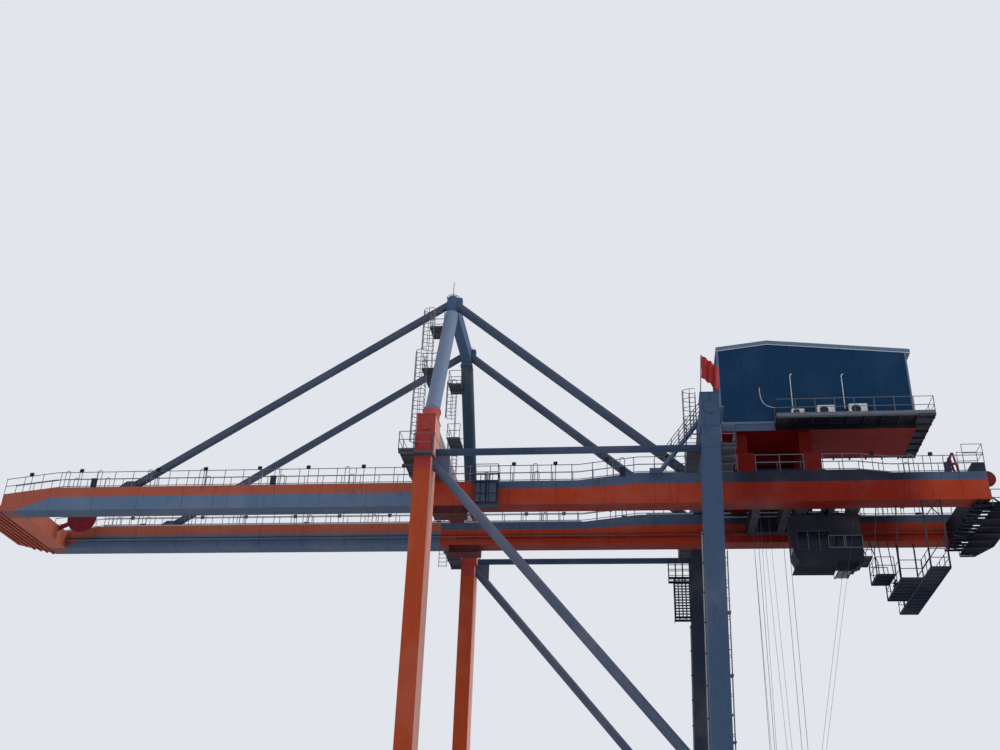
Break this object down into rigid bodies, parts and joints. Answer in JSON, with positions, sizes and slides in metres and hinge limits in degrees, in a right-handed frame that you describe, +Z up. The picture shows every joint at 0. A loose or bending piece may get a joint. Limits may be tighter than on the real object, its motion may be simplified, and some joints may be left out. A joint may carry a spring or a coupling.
{
  "type": "1:2 scale model of a rail-mounted quayside container crane with fixed boom",
  "caption": "Rail-mounted quay crane: legs, braced portal, twin girders with an A-frame and stays, a machinery house, and a trolley with cab, hoist ropes and container spreader.",
  "frame": {"origin": "centre of the crane's length and width, at the level where the rail wheels' flanges meet the ground", "axes": "+X along the girders from the waterside to the landside, +Y along the rails, to the right for a person who looks from the land to the water, +Z up"},
  "size_m": [33.3, 12.66, 22.47],
  "materials": {
    "orange_paint": "weathered satin paint",
    "grey_blue_paint": "weathered satin paint",
    "pale_grey_paint": "dusty satin paint",
    "dark_blue_cladding": "ribbed coated sheet",
    "dark_red_paint": "weathered satin paint",
    "worn_steel": "worn and lightly rusted",
    "yellow_paint": "worn satin paint",
    "black_rubber": "matt",
    "galvanised_steel": "dull zinc",
    "red_cloth": "matt woven cloth"
  },
  "bodies": {
    "crane": {"a_frame_post_left": "grey_blue_paint", "a_frame_post_right": "grey_blue_paint", "air_conditioners": "pale_grey_paint", "apex_beam": "grey_blue_paint", "back_end_beam": "orange_paint", "back_girder_left": "orange_paint", "back_girder_right": "orange_paint", "back_stays": "grey_blue_paint", "bogie_frames": "grey_blue_paint", "boom_end_beam": "orange_paint", "boom_girder_left": "orange_paint", "boom_girder_right": "orange_paint", "diagonal_pipes": "grey_blue_paint", "electrical_station": "grey_blue_paint", "end_buffers": "black_rubber", "end_platform": "dark_red_paint", "end_sheaves": "dark_red_paint", "equaliser_beams": "grey_blue_paint", "flag": "red_cloth", "flag_pole": "galvanised_steel", "fore_stays": "grey_blue_paint", "girder_inner_handrail_left": "galvanised_steel", "girder_inner_handrail_right": "galvanised_steel", "girder_outer_handrail_left": "galvanised_steel", "girder_outer_handrail_right": "galvanised_steel", "girder_seats": "grey_blue_paint", "house_frame": "dark_red_paint", "house_handrails": "galvanised_steel", "house_roof": "pale_grey_paint", "house_stair": "galvanised_steel", "house_trestles": "dark_red_paint", "house_walkway": "dark_red_paint", "hung_platforms": "grey_blue_paint", "landside_cross_beam": "grey_blue_paint", "landside_galleries": "galvanised_steel", "landside_leg_left": "grey_blue_paint", "landside_leg_right": "grey_blue_paint", "landside_sill_beam": "grey_blue_paint", "machinery_house": "dark_blue_cladding", "nose_platform": "dark_red_paint", "portal_beams": "grey_blue_paint", "post_ladders": "galvanised_steel", "post_landings": "galvanised_steel", "rail_wheels": "worn_steel", "raised_deck": "grey_blue_paint", "stay_brackets": "orange_paint", "tie_pipes": "grey_blue_paint", "trolley_rails": "worn_steel", "waterside_cross_beam": "orange_paint", "waterside_galleries": "galvanised_steel", "waterside_leg_left": "orange_paint", "waterside_leg_right": "orange_paint", "waterside_sill_beam": "orange_paint"},
    "trolley": {"trolley_frame": "dark_red_paint", "trolley_wheels": "worn_steel", "operator_cab": "pale_grey_paint", "hoist_ropes": "worn_steel", "headblock": "orange_paint", "spreader": "yellow_paint"}
  },
  "joints": [
    {"name": "trolley_travel", "type": "slide", "parent": "crane", "child": "trolley", "axis": [-1, 0, 0], "range_m": [0, 22.1]}
  ]
}
